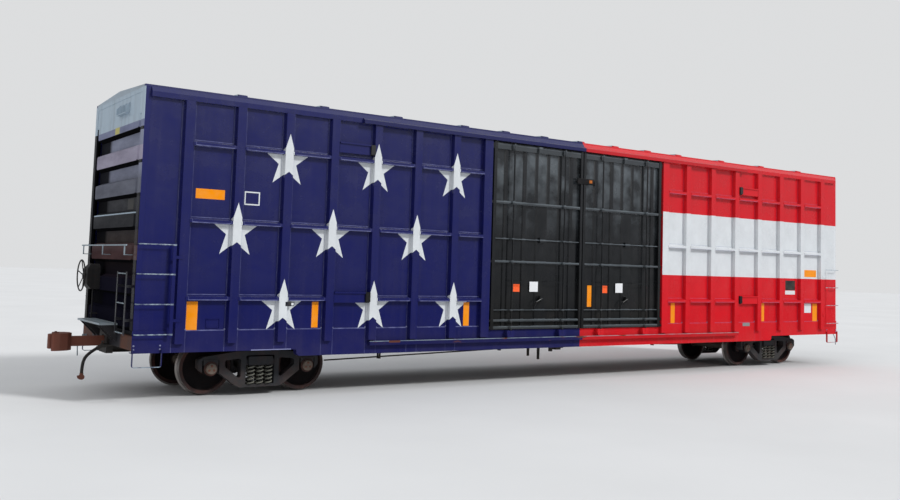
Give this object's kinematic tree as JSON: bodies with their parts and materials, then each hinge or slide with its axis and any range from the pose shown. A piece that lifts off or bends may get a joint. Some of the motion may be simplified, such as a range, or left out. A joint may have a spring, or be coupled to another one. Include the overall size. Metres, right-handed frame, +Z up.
{
  "type": "railroad boxcar",
  "caption": "High-cube railroad boxcar with ribbed sides and ends, double plug doors and two four-wheel trucks.",
  "frame": {"origin": "middle of the car in plan, at the lowest points of the wheel flanges", "axes": "+X along the car to the A end, away from the hand brake; +Y to the far side; +Z up"},
  "size_m": [20.6, 3.25, 5.1994],
  "materials": {
    "body_blue": "gloss",
    "door_black": "gloss",
    "end_paint": "gloss",
    "roof_silver": "satin",
    "floor_wood": "matte",
    "underframe_black": "satin",
    "galvanised": "satin",
    "coupler_rust": "matte",
    "hose_rubber": "matte",
    "wheel_steel": "matte",
    "truck_black": "matte"
  },
  "bodies": {
    "car_body": {"air_hose_a": "hose_rubber", "air_hose_b": "hose_rubber", "air_reservoir": "underframe_black", "body_bolsters": "underframe_black", "brake_cylinder": "underframe_black", "brake_housing": "underframe_black", "brake_rods": "underframe_black", "brake_wheel": "underframe_black", "centre_sill": "underframe_black", "control_valve": "underframe_black", "corner_posts": "body_blue", "couplers": "coupler_rust", "crossbearers": "underframe_black", "door_far_a": "door_black", "door_far_b": "door_black", "door_gear": "door_black", "door_near_a": "door_black", "door_near_b": "door_black", "door_stops": "body_blue", "door_tracks": "body_blue", "end_handrails": "galvanised", "end_ladders": "end_paint", "end_platforms": "galvanised", "end_sills": "underframe_black", "end_walls": "end_paint", "floor": "floor_wood", "glad_hand_a": "coupler_rust", "glad_hand_b": "coupler_rust", "roof": "roof_silver", "side_ladders": "body_blue", "side_posts": "body_blue", "side_sheets": "body_blue", "side_sills": "body_blue", "sill_steps": "body_blue", "top_chords": "body_blue", "train_pipe": "underframe_black", "uncoupling_levers": "galvanised"},
    "truck_b": {"brake_beams_b": "truck_black", "truck_bolster_b": "truck_black", "truck_frames_b": "truck_black", "truck_springs_b": "truck_black"},
    "wheelset_b_outer": {"wheelset_b_outer": "wheel_steel"},
    "wheelset_b_inner": {"wheelset_b_inner": "wheel_steel"},
    "truck_a": {"brake_beams_a": "truck_black", "truck_bolster_a": "truck_black", "truck_frames_a": "truck_black", "truck_springs_a": "truck_black"},
    "wheelset_a_outer": {"wheelset_a_outer": "wheel_steel"},
    "wheelset_a_inner": {"wheelset_a_inner": "wheel_steel"}
  },
  "joints": [
    {"name": "truck_b_swivel", "type": "hinge", "parent": "car_body", "child": "truck_b", "pos_m": [-7.0485, 0, 0.6824], "axis": [0, 0, 1], "range_deg": [-8, 8]},
    {"name": "wheelset_b_outer_roll", "type": "hinge", "parent": "truck_b", "child": "wheelset_b_outer", "pos_m": [-7.9375, 0, 0.4826], "axis": [0, 1, 0], "continuous": true},
    {"name": "wheelset_b_inner_roll", "type": "hinge", "parent": "truck_b", "child": "wheelset_b_inner", "pos_m": [-6.1595, 0, 0.4826], "axis": [0, 1, 0], "continuous": true},
    {"name": "truck_a_swivel", "type": "hinge", "parent": "car_body", "child": "truck_a", "pos_m": [7.0485, 0, 0.6824], "axis": [0, 0, 1], "range_deg": [-8, 8]},
    {"name": "wheelset_a_outer_roll", "type": "hinge", "parent": "truck_a", "child": "wheelset_a_outer", "pos_m": [7.9375, 0, 0.4826], "axis": [0, 1, 0], "continuous": true},
    {"name": "wheelset_a_inner_roll", "type": "hinge", "parent": "truck_a", "child": "wheelset_a_inner", "pos_m": [6.1595, 0, 0.4826], "axis": [0, 1, 0], "continuous": true}
  ]
}
